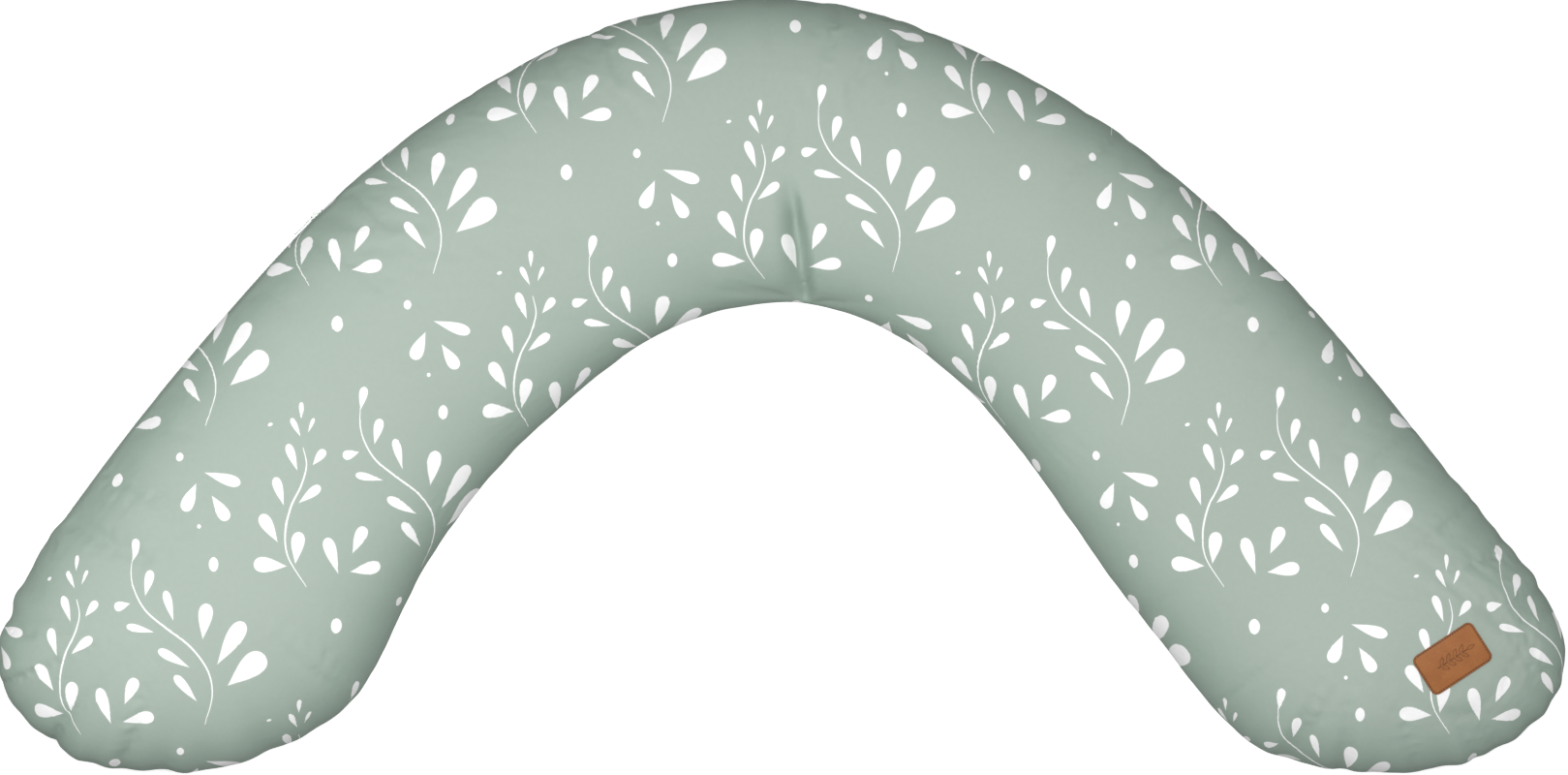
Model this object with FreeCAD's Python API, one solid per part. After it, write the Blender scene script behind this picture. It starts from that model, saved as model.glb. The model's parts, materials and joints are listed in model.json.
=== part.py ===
import FreeCAD, Part
import math
import os
from FreeCAD import Vector

# Nursing pillow: a crescent bead cushion in a removable two-panel cover with a zip.
# Millimetres. +X runs from the left arm to the right arm, +Y to the outside of the bend, +Z up from the floor.

# driving dimensions
SEAM_Z = 84.0                 # height of the seam that joins the upper and lower panels
PUFF = 0.62                   # height of the cushion above its seam, for each unit of half width
FULLNESS = 0.04               # how far the section bulges past an ellipse at its shoulders
CLOTH = 1.0                   # thickness of the cover cloth as modelled
LINER = 0.8                   # thickness of the inner casing cloth
PANEL_GAP = 0.2               # between an upper panel and the lower one at the seam
SEAM_ALLOWANCE = 4.5          # width of the turned-in edges of the cover

# each layer of the cushion: how far its side lies inside the outline, its crown below the cover, and its floor
COVER_OUT = (0.0, 0.0, 0.0)
COVER_IN = (CLOTH, CLOTH, CLOTH)
LINER_OUT = (6.0, 1.8, 1.4)
LINER_IN = (6.0 + LINER, 1.8 + LINER, 1.4 + LINER)
FILL_OUT = (7.6, 3.4, 2.6)

# the arc of the left flank that holds the zip
ZIP_CENTRE = Vector(1258, -1501, 0)
ZIP_RADIUS = 2382.5
ZIP_ARC_LOW = 144.8           # degrees about the arc's centre, nearest the end of the left arm
ZIP_ARC_HIGH = 135.1          # degrees, nearest the middle of the pillow
ZIP_ARC_POINTS = 5

# the rest of the pillow's outline in plan, clockwise from the zip arc
OUTLINE_REST = [
    (-365, 235), (-205, 330), (10, 370), (165, 330), (245, 290), (445, 140), (580, -10), (690, -145),
    (750, -245), (745, -290), (685, -350), (550, -370), (445, -340), (390, -280), (315, -185), (155, 15),
    (20, 80), (-70, 70), (-225, -30), (-370, -225), (-405, -290), (-470, -340), (-590, -370), (-710, -335),
    (-745, -290), (-735, -195),
]
OUTLINE_SAMPLES = 1440
FLANGE_POINTS = 96
LOFT_DEGREE = 5

# the middle line of the bend, from the left shoulder to the right one
BEND_LINE = [(-361, 39), (-249, 137), (-132, 203), (0, 225), (122, 197), (238, 128), (364, 7)]
BEND_STATIONS = 13

# the two arms: the way each one points, in degrees, and how far out along that way its shoulder is
LEFT_ARM = 232.0
RIGHT_ARM = -50.5
SHOULDER = 365.0
ARM_STATIONS = 3
ARM_END = 150.0               # length of the rounded end of an arm
END_ANGLES = (5, 14, 24, 35, 47, 60, 74, 88)
SECTION_POINTS = 16

# the zip
SLOT_HALF = 5.0               # half height of the opening between the cover panels
SLOT_DEPTH = 6.0
SLOT_OVERCUT = 20.0           # how far the cutting block stands out of the cushion
SLOT_LOW = 144.7              # degrees, the ends of the opening
SLOT_HIGH = 135.2
CHAIN_LOW = 144.5             # degrees, the end of the row of teeth nearest the arm's end
CHAIN_HIGH = 135.5
TOOTH_PITCH = 3.0
TOOTH_WIDTH = 1.2
TOOTH_REACH = 1.0             # how far a tooth passes the middle of the zip
TOOTH_BACK = 2.6
TOOTH_INNER = 1.98            # depth of the teeth below the arc: inner and outer face
TOOTH_OUTER = 0.4
TAPE_FACE = 2.0
TAPE_THICK = 0.6
TAPE_EDGE = 0.3
TAPE_HEIGHT = 11.0
STOP_LENGTH = 3.0
SLIDER_LENGTH = 15.0
SLIDER_HALF = 4.4
SLIDER_GAP = 0.4              # between the slider and a stop
SLIDER_FACE = 0.2             # the underside of the slider's plate, above the arc
SLIDER_PLATE = 1.2
SLIDER_CORNER = 1.6
RAIL_GAP = 0.3
RAIL_DEPTH = 1.6
STOP_GAP = 0.4                # between a stop and the nearest tooth
STITCH_LIFT = 0.05
STITCH_THICK = 0.3
ZIP_STITCH = (2.8, 0.6)       # length and width of a stitch
ZIP_STITCH_PITCH = 4.0
ZIP_STITCH_OFFSET = 6.5       # from the middle of the zip
ZIP_STITCH_ROOM = 4.0         # each way from the zip's arc, room for the cloth's surface

# the pull tab
PIN_HEIGHT = 3.2              # above the arc
PIN_RADIUS = 0.8
EYE_RADIUS = 1.7
EYE_HOLE = 1.0
EYE_HALF = 1.9
LUG_INNER = 2.2
LUG_OUTER = 3.4
LUG_LENGTH = 3.4
LUG_WALL = 0.6
TAB_LENGTH = 28.0
TAB_HALF = 3.6
TAB_THICK = 1.2
TAB_NECK = 4.0
TAB_CORNER = 1.6
TAB_WINDOW = 1.4

# the leather patch on the right arm
PATCH_CENTRE = Vector(637, -259, 0)
PATCH_LENGTH = 68.0
PATCH_WIDTH = 43.5
PATCH_CORNER = 6.5
PATCH_TURN = 33.0
PATCH_THICK = 1.2
PATCH_LIFT = 0.15
DEBOSS = 0.4
PATCH_STITCH_INSET = 1.7
PATCH_STITCH_PITCH = 2.8
PATCH_STITCH = (1.8, 0.6)
TWIG_REACH = 17.0             # half length of the pressed twig
TWIG_WIDTH = 1.0
SPRIG_LEAF = (9.0, 3.8)
SPRIG_PAIRS = 4
SPRIG_STEP = 7.4
SPRIG_TURN = 48.0

# the care label inside the cover
LABEL_WIDTH = 30.0
LABEL_HEIGHT = 40.0
LABEL_TOP = 14.0
LABEL_OUT = (3.0, 1.2)
LABEL_IN = (3.4, 1.4)

# where the two halves of the fill meet and turn
FLEX_AXIS = Vector(0, 225, 0)
KNUCKLE_RADIUS = 135.0
KNUCKLE_GAP = 1.5
FLEX_RANGE = 35.0             # degrees, each way
FLEX_MARGIN = 1.5

ABOVE = 400.0                 # taller than the pillow, for cutting blocks
WIDE = 3000.0
FAR = 10000.0
TOUCH = 0.0001                # lengths below this count as none
PARALLEL = 0.9                # least share of an edge's direction along an axis for it to count as lying along it

os.makedirs("parts", exist_ok=True)


def plan_direction(degrees):
    angle = math.radians(degrees)
    return Vector(math.cos(angle), math.sin(angle), 0)


def zip_point(degrees, depth=0.0, z=0.0):
    """A point on the zip's arc, a depth inside it, at a height."""
    return ZIP_CENTRE + plan_direction(degrees) * (ZIP_RADIUS - depth) + Vector(0, 0, z)


def spline(points, closed=False):
    curve = Part.BSplineCurve()
    curve.interpolate(Points=points, PeriodicFlag=closed)
    return curve


# ---- plan outline and cross-sections ----

def make_outline():
    step = (ZIP_ARC_HIGH - ZIP_ARC_LOW) / (ZIP_ARC_POINTS - 1)
    arc = [zip_point(ZIP_ARC_LOW + step * i) for i in range(ZIP_ARC_POINTS)]
    return spline(arc + [Vector(x, y, 0) for x, y in OUTLINE_REST], closed=True)


OUTLINE = make_outline()


def offset_outline(inset, samples=OUTLINE_SAMPLES):
    """Points of the outline moved inwards by inset."""
    first, last = OUTLINE.FirstParameter, OUTLINE.LastParameter
    points = []
    for i in range(samples):
        parameter = first + (last - first) * i / samples
        tangent = OUTLINE.tangent(parameter)[0]
        points.append(OUTLINE.value(parameter) + Vector(tangent.y, -tangent.x, 0) * inset)
    return points


def crossings(point, direction, ring):
    """Signed distances from point, along a line through it, at which the line crosses the ring."""
    found = []
    for i in range(len(ring)):
        a = ring[i - 1] - point
        b = ring[i] - point
        side_a = direction.x * a.y - direction.y * a.x
        side_b = direction.x * b.y - direction.y * b.x
        if side_a * side_b <= 0 and side_a != side_b:
            found.append((a + (b - a) * (side_a / (side_a - side_b))).dot(direction))
    return found


def chord(point, along, ring):
    """Middle, sideways direction and half width of the cushion where a line square to along passes point."""
    across = Vector(-along.y, along.x, 0)
    reaches = crossings(point, across, ring)
    outer = min(reach for reach in reaches if reach > 0)
    inner = max(reach for reach in reaches if reach < 0)
    return point + across * ((outer + inner) / 2), across, (outer - inner) / 2


def arm_chords(degrees, ring):
    """Chords of one arm from its tip to its shoulder, close together at the rounded tip."""
    along = plan_direction(degrees)
    tip = max(ring, key=lambda point: point.dot(along))
    reach = tip.dot(along) - SHOULDER
    depths = [ARM_END * (1 - math.cos(math.radians(angle))) for angle in END_ANGLES]
    step = (reach - depths[-1]) / ARM_STATIONS
    depths += [depths[-1] + step * i for i in range(1, ARM_STATIONS + 1)]
    return [chord(tip - along * depth, along, ring) for depth in depths]


def cushion_chords(ring):
    left = [(middle, across * -1, half) for middle, across, half in arm_chords(LEFT_ARM, ring)]
    right = arm_chords(RIGHT_ARM, ring)
    line = Part.BSplineCurve()
    points = [left[-1][0]] + [Vector(x, y, 0) for x, y in BEND_LINE] + [right[-1][0]]
    line.interpolate(Points=points, InitialTangent=plan_direction(LEFT_ARM) * -1,
                     FinalTangent=plan_direction(RIGHT_ARM))
    bend = []
    for i in range(1, BEND_STATIONS):
        parameter = line.parameterAtDistance(line.length() * i / BEND_STATIONS, line.FirstParameter)
        bend.append(chord(line.value(parameter), line.tangent(parameter)[0], ring))
    return left + bend + right[::-1]


def section_curve(middle, across, half_width, height, base, side):
    """Half of a cross-section, from one edge of the cushion over its crown (side 1) or under it (side -1)."""
    points = []
    for i in range(SECTION_POINTS):
        angle = 2 * math.pi * i / SECTION_POINTS
        swell = 1 + FULLNESS * math.sin(2 * angle) ** 2
        sideways = across * (half_width * swell * math.cos(angle))
        points.append(middle + sideways + Vector(0, 0, base + side * height * swell * math.sin(angle)))
    curve = Part.BSplineCurve()
    knots = [i / SECTION_POINTS for i in range(SECTION_POINTS + 1)]
    curve.interpolate(Points=points, PeriodicFlag=True, Parameters=knots)
    curve.segment(0, 0.5)
    return curve.toShape()


def half_cushion(inset, sink, side, base=SEAM_Z, floor=None):
    """The upper (side 1) or lower (side -1) half of the cushion, flat at its base.

    Its side is moved in by inset, and its crown by sink. floor cuts the lower half flat.
    """
    chords = cushion_chords(offset_outline(inset))
    curves = []
    for middle, across, half in chords:
        height = PUFF * (half + inset) - sink - abs(base - SEAM_Z)
        curves.append(section_curve(middle, across, half, height, base, side))
    skin = Part.makeLoft([Part.Wire(curve) for curve in curves], False, False, False, LOFT_DEGREE)
    faces = list(skin.Faces)
    mouth = [edge for edge in skin.Edges if edge.BoundBox.ZLength < TOUCH]
    for curve in (curves[0], curves[-1]):
        chord_edge = Part.makeLine(curve.Vertexes[0].Point, curve.Vertexes[-1].Point)
        faces.append(Part.Face(Part.Wire([curve, chord_edge])))
        mouth.append(chord_edge)
    faces.append(Part.Face(Part.Wire(Part.__sortEdges__(mouth))))
    solid = sewn(faces)
    return solid if floor is None else solid.common(slab(floor, ABOVE))


def cushion(inset, sink, floor=None):
    """The whole cushion, both halves in one."""
    upper = half_cushion(inset, sink, 1)
    lower = half_cushion(inset, sink, -1, SEAM_Z, floor)
    return sewn(split_mouth(upper, SEAM_Z)[0] + split_mouth(lower, SEAM_Z)[0])


def outward(solid):
    """The solid with its faces turned outwards, so that a far point is not inside it."""
    if solid.isInside(Vector(0, 0, FAR), TOUCH, False):
        solid.reverse()
    return solid


def sewn(faces):
    shell = Part.makeShell(faces)
    shell.sewShape()
    return outward(Part.makeSolid(shell))


def flat_ring(outer, inner):
    return Part.makeFace([outer, inner], "Part::FaceMakerBullseye").Faces[0]


def split_mouth(solid, mouth):
    """The faces of a solid that don't lie in the plane at height mouth, and the wire round the one that does."""
    walls, rim = [], None
    for face in solid.Faces:
        box = face.BoundBox
        if abs(box.ZMin - mouth) < TOUCH and abs(box.ZMax - mouth) < TOUCH:
            rim = face.OuterWire
        else:
            walls.append(face)
    return walls, rim


def grown(by, side=1):
    """One half of the cushion, swollen by a distance."""
    return half_cushion(-by, -by, side)


# ---- cutting shapes ----

def slab(bottom, top):
    return Part.makeBox(WIDE, WIDE, top - bottom, Vector(-WIDE / 2, -WIDE / 2, bottom))


def zip_sector(depth_in, depth_out, bottom, top, low, high):
    """A block bent along the zip's arc between two depths, two heights and two angles."""
    z0, z1 = SEAM_Z + bottom, SEAM_Z + top
    corners = [zip_point(high, depth_in, z0), zip_point(high, depth_out, z0),
               zip_point(high, depth_out, z1), zip_point(high, depth_in, z1)]
    face = Part.Face(Part.makePolygon(corners + corners[:1]))
    return face.revolve(ZIP_CENTRE, Vector(0, 0, 1), low - high)


def rounded_plate(length, width, corner, bottom, top):
    """An upright prism with round corners, centred on the origin."""
    x, y = length / 2, width / 2
    box = Part.makeBox(length, width, top - bottom, Vector(-x, -y, bottom))
    upright = [edge for edge in box.Edges if abs(edge.tangentAt(edge.FirstParameter).z) > PARALLEL]
    return box.makeFillet(corner, upright)


def to_patch(shape):
    """Move a shape drawn about the origin to the leather patch."""
    moved = shape.copy()
    moved.rotate(Vector(0, 0, 0), Vector(0, 0, 1), PATCH_TURN)
    moved.translate(PATCH_CENTRE)
    return moved


def save(name, shape):
    shape.exportStep("parts/" + name + ".step")
    print(name, len(shape.Solids), round(shape.Volume / 1000, 2), shape.isValid())


# ---- cloth panels, put together face by face ----

def outline_wire(inset, z):
    points = [point + Vector(0, 0, z) for point in offset_outline(inset, FLANGE_POINTS)]
    return Part.Wire(spline(points, closed=True).toShape())


def cover_panel(side):
    """One cloth panel of the cover, with the edge turned in along the seam."""
    mouth = SEAM_Z + side * PANEL_GAP / 2
    ledge = mouth + side * CLOTH
    floors = (COVER_OUT[2], COVER_IN[2]) if side < 0 else (None, None)
    outer = half_cushion(COVER_OUT[0], COVER_OUT[1], side, mouth, floors[0])
    inner = half_cushion(COVER_IN[0], COVER_IN[1], side, ledge, floors[1])
    outer_walls, outer_rim = split_mouth(outer, mouth)
    inner_walls, inner_rim = split_mouth(inner, ledge)
    low, high = outline_wire(SEAM_ALLOWANCE, mouth), outline_wire(SEAM_ALLOWANCE, ledge)
    edge = low.extrude(Vector(0, 0, side * CLOTH))
    lips = [flat_ring(inner_rim, high), flat_ring(outer_rim, low)]
    return sewn(outer_walls + inner_walls + edge.Faces + lips)


def make_cover():
    slot = zip_sector(SLOT_DEPTH, -SLOT_OVERCUT, -SLOT_HALF, SLOT_HALF, SLOT_LOW, SLOT_HIGH)
    save("cover_top_panel", cover_panel(1).cut(slot))
    save("cover_bottom_panel", cover_panel(-1).cut(slot))


def liner_panel(side):
    mouth = SEAM_Z + side * PANEL_GAP / 2
    floors = (LINER_OUT[2], LINER_IN[2]) if side < 0 else (None, None)
    outer = half_cushion(LINER_OUT[0], LINER_OUT[1], side, mouth, floors[0])
    inner = half_cushion(LINER_IN[0], LINER_IN[1], side, mouth, floors[1])
    outer_walls, outer_rim = split_mouth(outer, mouth)
    inner_walls, inner_rim = split_mouth(inner, mouth)
    return sewn(outer_walls + inner_walls + [flat_ring(outer_rim, inner_rim)])


def make_liner():
    save("inner_casing_top", liner_panel(1))
    save("inner_casing_bottom", liner_panel(-1))


# ---- bead fill, in two halves that turn about the flex axis ----

def half_region(side, radius):
    """The room of one half of the fill as an upright prism: side is -1 for the left and 1 for the right.

    It ends at the flex axis in a round face, bulging towards +X, between two faces that open by half the flex.
    """
    spread = side * (FLEX_RANGE / 2 + FLEX_MARGIN)
    high, low = plan_direction(90 - spread), plan_direction(-90 + spread)
    start, stop = FLEX_AXIS + high * radius, FLEX_AXIS + low * radius
    far = [stop, FLEX_AXIS + low * WIDE, FLEX_AXIS + plan_direction(90 - 90 * side) * WIDE * 2,
           FLEX_AXIS + high * WIDE, start]
    arc = Part.Arc(start, FLEX_AXIS + Vector(radius, 0, 0), stop).toShape()
    lines = [Part.makeLine(far[i], far[i + 1]) for i in range(len(far) - 1)]
    return Part.Face(Part.Wire([arc] + lines)).extrude(Vector(0, 0, ABOVE))


def make_fill():
    fill = cushion(*FILL_OUT)
    save("bead_fill_left", fill.common(half_region(-1, KNUCKLE_RADIUS)))
    save("bead_fill_right", fill.common(half_region(1, KNUCKLE_RADIUS + KNUCKLE_GAP)))


# ---- zip ----

def degrees_along(length):
    return math.degrees(length / ZIP_RADIUS)


def tooth_row(side, phase):
    """One side's teeth: side is 1 for the upper row and -1 for the lower one."""
    low, high = sorted((-TOOTH_REACH * side, TOOTH_BACK * side))
    start = CHAIN_HIGH + degrees_along(phase)
    tooth = zip_sector(TOOTH_INNER, TOOTH_OUTER, low, high, start + degrees_along(TOOTH_WIDTH), start)
    count = int((CHAIN_LOW - CHAIN_HIGH) / degrees_along(TOOTH_PITCH))
    teeth = []
    for i in range(count):
        copy = tooth.copy()
        copy.rotate(ZIP_CENTRE, Vector(0, 0, 1), degrees_along(TOOTH_PITCH) * i)
        teeth.append(copy)
    return Part.makeCompound(teeth)


def tape(side):
    low, high = sorted((TAPE_EDGE * side, TAPE_HEIGHT * side))
    return zip_sector(TAPE_FACE + TAPE_THICK, TAPE_FACE, low, high, SLOT_LOW, SLOT_HIGH)


def stop_block(low_edge, high_edge, start):
    return zip_sector(TOOTH_INNER, TOOTH_OUTER, low_edge, high_edge, start + degrees_along(STOP_LENGTH), start)


def topstitch(side):
    """A row of stitches along one edge of the zip opening, on the outside of the cover."""
    low, high = sorted((ZIP_STITCH_OFFSET * side, (ZIP_STITCH_OFFSET + ZIP_STITCH[1]) * side))
    stitch = zip_sector(ZIP_STITCH_ROOM, -ZIP_STITCH_ROOM, low, high,
                        ZIP_ARC_HIGH + degrees_along(ZIP_STITCH[0]), ZIP_ARC_HIGH)
    count = int((ZIP_ARC_LOW - ZIP_ARC_HIGH) / degrees_along(ZIP_STITCH_PITCH))
    bars = []
    for i in range(count):
        copy = stitch.copy()
        copy.rotate(ZIP_CENTRE, Vector(0, 0, 1), degrees_along(ZIP_STITCH_PITCH) * i)
        bars.append(copy)
    under, over = grown(STITCH_LIFT, side), grown(STITCH_LIFT + STITCH_THICK, side)
    return Part.makeCompound(bars).common(over).cut(under)


def make_zip_chain():
    for name, side, phase in (("upper", 1, 0.0), ("lower", -1, TOOTH_PITCH / 2)):
        save("zip_tape_" + name, tape(side))
        save("zip_teeth_" + name, tooth_row(side, phase))
        save("zip_topstitch_" + name, topstitch(side))
    top = CHAIN_HIGH - degrees_along(STOP_LENGTH + STOP_GAP)
    top_stops = [stop_block(TOOTH_REACH, TOOTH_BACK, top), stop_block(-TOOTH_BACK, -TOOTH_REACH, top)]
    save("zip_top_stops", Part.makeCompound(top_stops))
    save("zip_bottom_stop", stop_block(-TOOTH_BACK, TOOTH_BACK, CHAIN_LOW + degrees_along(STOP_GAP)))


# the slider and its tab are drawn with X along the zip, Y out of the pillow and Z up, then moved to the zip

def to_zip(shape, along):
    """Move a shape drawn about the origin to the zip's arc, a length past the top of the chain."""
    degrees = CHAIN_HIGH + degrees_along(along)
    moved = shape.copy()
    moved.rotate(Vector(0, 0, 0), Vector(0, 0, 1), degrees - 90)
    moved.translate(zip_point(degrees, 0.0, SEAM_Z))
    return moved


def block(x0, x1, y0, y1, z_half, z_from=None):
    low = -z_half if z_from is None else z_from
    return Part.makeBox(x1 - x0, y1 - y0, z_half - low, Vector(x0, y0, low))


def slider():
    half = SLIDER_LENGTH / 2
    plate = block(-half, half, SLIDER_FACE, SLIDER_FACE + SLIDER_PLATE, SLIDER_HALF)
    upright = [edge for edge in plate.Edges if abs(edge.tangentAt(edge.FirstParameter).y) > PARALLEL]
    body = plate.makeFillet(SLIDER_CORNER, upright)
    rail_inner = TOOTH_BACK + RAIL_GAP
    for z_from, z_to in ((rail_inner, SLIDER_HALF), (-SLIDER_HALF, -rail_inner)):
        rail = block(-half + SLIDER_CORNER, half - SLIDER_CORNER, -RAIL_DEPTH, SLIDER_FACE, z_to, z_from)
        body = body.fuse(rail)
    lug_top = PIN_HEIGHT + PIN_RADIUS + LUG_WALL
    for z_from, z_to in ((LUG_INNER, LUG_OUTER), (-LUG_OUTER, -LUG_INNER)):
        lug = block(-LUG_LENGTH / 2, LUG_LENGTH / 2, SLIDER_FACE + SLIDER_PLATE / 2, lug_top, z_to, z_from)
        body = body.fuse(lug)
    pin = Part.makeCylinder(PIN_RADIUS, 2 * LUG_INNER, Vector(0, PIN_HEIGHT, -LUG_INNER))
    return body.fuse(pin).removeSplitter()


def pull_tab():
    """The tab lies along the chain, towards the arm's end, held by an eye round the slider's pin."""
    eye = Part.makeCylinder(EYE_RADIUS, 2 * EYE_HALF, Vector(0, PIN_HEIGHT, -EYE_HALF))
    y0, y1 = PIN_HEIGHT - TAB_THICK / 2, PIN_HEIGHT + TAB_THICK / 2
    neck = block(-TAB_NECK, 0, y0, y1, EYE_HALF)
    blade = block(-TAB_LENGTH, -TAB_NECK, y0, y1, TAB_HALF)
    ends = [edge for edge in blade.Edges if abs(edge.tangentAt(edge.FirstParameter).y) > PARALLEL]
    blade = blade.makeFillet(TAB_CORNER, ends)
    hole = Part.makeCylinder(EYE_HOLE, 3 * EYE_HALF, Vector(0, PIN_HEIGHT, -1.5 * EYE_HALF))
    window = Part.makeCylinder(TAB_WINDOW, 3 * TAB_THICK, Vector(-TAB_LENGTH + 2 * TAB_HALF, y0 - TAB_THICK, 0),
                               Vector(0, 1, 0))
    return eye.fuse(neck).fuse(blade).cut(hole).cut(window).removeSplitter()


def make_slider():
    along = SLIDER_LENGTH / 2 + SLIDER_GAP - STOP_GAP
    save("zip_slider", to_zip(slider(), along))
    save("zip_pull_tab", to_zip(pull_tab(), along))
    low_end = math.radians(CHAIN_LOW - CHAIN_HIGH) * ZIP_RADIUS + STOP_GAP
    travel = degrees_along(low_end - SLIDER_GAP - SLIDER_LENGTH / 2 - along)
    print("slider travel in degrees", round(travel, 3), "pin at",
          [round(v, 3) for v in zip_point(CHAIN_HIGH + degrees_along(along), -PIN_HEIGHT, SEAM_Z)])


# ---- labels ----

def leaf(x, y, length, width, degrees):
    """A pointed oval drawn in plan, its stalk end at x, y, as an upright prism."""
    tip = Vector(length, 0, 0)
    upper = Part.Arc(Vector(0, 0, 0), Vector(length / 2, width / 2, 0), tip).toShape()
    lower = Part.Arc(tip, Vector(length / 2, -width / 2, 0), Vector(0, 0, 0)).toShape()
    prism = Part.Face(Part.Wire([upper, lower])).extrude(Vector(0, 0, ABOVE))
    prism.rotate(Vector(0, 0, 0), Vector(0, 0, 1), degrees)
    prism.translate(Vector(x, y, 0))
    return prism


def sprig():
    """A plain twig with paired leaves, pressed into the patch."""
    twig = Part.makeBox(2 * TWIG_REACH, TWIG_WIDTH, ABOVE, Vector(-TWIG_REACH, -TWIG_WIDTH / 2, 0))
    pieces = [twig, leaf(TWIG_REACH - TWIG_WIDTH, 0, SPRIG_LEAF[0], SPRIG_LEAF[1], 0)]
    for i in range(SPRIG_PAIRS):
        x = -TWIG_REACH + SPRIG_STEP * (i + 0.5)
        pieces += [leaf(x, 0, SPRIG_LEAF[0], SPRIG_LEAF[1], turn) for turn in (SPRIG_TURN, -SPRIG_TURN)]
    return pieces[0].fuse(pieces[1:])


def patch_stitches():
    """Short bars along a rounded rectangle, as upright prisms."""
    x = PATCH_LENGTH / 2 - PATCH_STITCH_INSET
    y = PATCH_WIDTH / 2 - PATCH_STITCH_INSET
    r = PATCH_CORNER - PATCH_STITCH_INSET
    path = rounded_plate(2 * x, 2 * y, r, 0, PATCH_THICK)
    rim = Part.Wire(Part.__sortEdges__([edge for edge in path.Edges if edge.BoundBox.ZMax < TOUCH]))
    count = int(rim.Length / PATCH_STITCH_PITCH)
    spots = rim.discretize(Number=4 * count + 1)
    bars = []
    for i in range(count):
        here, ahead = spots[4 * i], spots[4 * i + 1]
        way = math.degrees(math.atan2(ahead.y - here.y, ahead.x - here.x))
        bar = Part.makeBox(PATCH_STITCH[0], PATCH_STITCH[1], ABOVE, Vector(0, -PATCH_STITCH[1] / 2, 0))
        bar.rotate(Vector(0, 0, 0), Vector(0, 0, 1), way)
        bar.translate(here)
        bars.append(bar)
    return Part.makeCompound(bars)


def make_patch():
    blank = to_patch(rounded_plate(PATCH_LENGTH, PATCH_WIDTH, PATCH_CORNER, SEAM_Z + CLOTH, ABOVE))
    crown = PATCH_LIFT + PATCH_THICK
    solid = blank.common(grown(crown)).cut(grown(PATCH_LIFT))
    pressed = to_patch(sprig()).common(blank).cut(grown(crown - DEBOSS))
    save("leather_patch", solid.cut(pressed))
    bars = to_patch(patch_stitches()).common(blank)
    low, high = grown(crown + STITCH_LIFT), grown(crown + STITCH_LIFT + STITCH_THICK)
    stitches = [bar.common(high).cut(low) for bar in bars.Solids]
    save("patch_stitching", Part.makeCompound([piece.Solids[0] for piece in stitches if piece.Solids]))


def make_care_label():
    """A plain satin label that hangs inside the cover, below the zip."""
    middle = (ZIP_ARC_LOW + ZIP_ARC_HIGH) / 2
    half = degrees_along(LABEL_WIDTH) / 2
    block_out = zip_sector(LABEL_WIDTH, 0, -LABEL_TOP - LABEL_HEIGHT, -LABEL_TOP, middle + half, middle - half)
    save("care_label", block_out.common(half_cushion(*LABEL_OUT, -1)).cut(half_cushion(*LABEL_IN, -1)))


make_cover()
make_liner()
make_fill()
make_zip_chain()
make_slider()
make_patch()
make_care_label()
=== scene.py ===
import json
import math

import bmesh
import bpy
import numpy as np
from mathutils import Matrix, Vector, kdtree, noise
from mathutils.bvhtree import BVHTree


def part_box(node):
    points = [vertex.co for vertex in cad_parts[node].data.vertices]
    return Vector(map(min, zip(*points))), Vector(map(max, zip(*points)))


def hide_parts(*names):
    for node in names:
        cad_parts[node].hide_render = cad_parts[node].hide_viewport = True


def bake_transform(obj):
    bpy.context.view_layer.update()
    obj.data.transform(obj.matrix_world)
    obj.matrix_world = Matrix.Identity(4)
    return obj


# Nursing pillow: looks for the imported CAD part. Metres, in the CAD frame.

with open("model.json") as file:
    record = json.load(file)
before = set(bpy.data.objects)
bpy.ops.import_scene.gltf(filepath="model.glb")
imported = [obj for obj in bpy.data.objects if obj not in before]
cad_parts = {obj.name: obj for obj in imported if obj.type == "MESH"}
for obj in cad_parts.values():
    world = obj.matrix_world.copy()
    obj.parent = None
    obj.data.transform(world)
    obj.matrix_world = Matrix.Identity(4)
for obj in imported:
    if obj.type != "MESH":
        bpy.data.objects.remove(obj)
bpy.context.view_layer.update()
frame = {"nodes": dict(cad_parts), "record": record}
NODES = frame["nodes"]
JOINTS = {joint["name"]: joint for joint in frame["record"]["behaviour"]["joints"]}

SEAM_Z = 0.084
ZIP_CENTRE = Vector(JOINTS["zip_travel"]["pos_m"])
ZIP_RADIUS = 2.3825
ZIP_LOW, ZIP_HIGH = math.radians(144.7), math.radians(135.2)
ZIP_SLOT = 0.005

# the cushion's skin
VOXEL = 0.005
WELD = 0.0003                 # corners of the CAD faces this close are one corner
RAY_LIFT = 0.0002             # how far off its own face a ray starts
SKIN_REACH = 0.35             # a ray inwards from an inner face meets cloth within this
ZIP_STEPS = 60
HALF_WIDTH, HALF_HEIGHT = 0.150, 0.093   # a typical cross-section, for laying out the print
ARC_STEPS = 400
CASING_INSET = 0.0055
FILL_INSET = 0.0082
SEAM_SINK = 0.0012
ZIP_HEM = 0.0012              # how far the cover's edge turns in at the zip
ZIP_FLANK = 0.05              # the cloth this close to the zip's arc is the flank with the zip
CUT_MARGIN, RIM_MARGIN = 0.01, 0.0001    # radians past the zip's ends, for cutting and for finding its rim

FLAT = 1e-5                   # heights this close are the same height
CUT_TOLERANCE = 1e-6
TINY_AREA = 1e-12
TINY = 1e-9
NO_WAY = 1e-6                 # a level part shorter than this has no direction

# where the cloth keeps still, each with the distance over which it comes free
STILL_PATCH = (0.040, 0.060)
STILL_ZIP_HEIGHT, STILL_ZIP_FADE = 0.012, 0.025
STILL_FLOOR_FADE = 0.012

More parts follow.
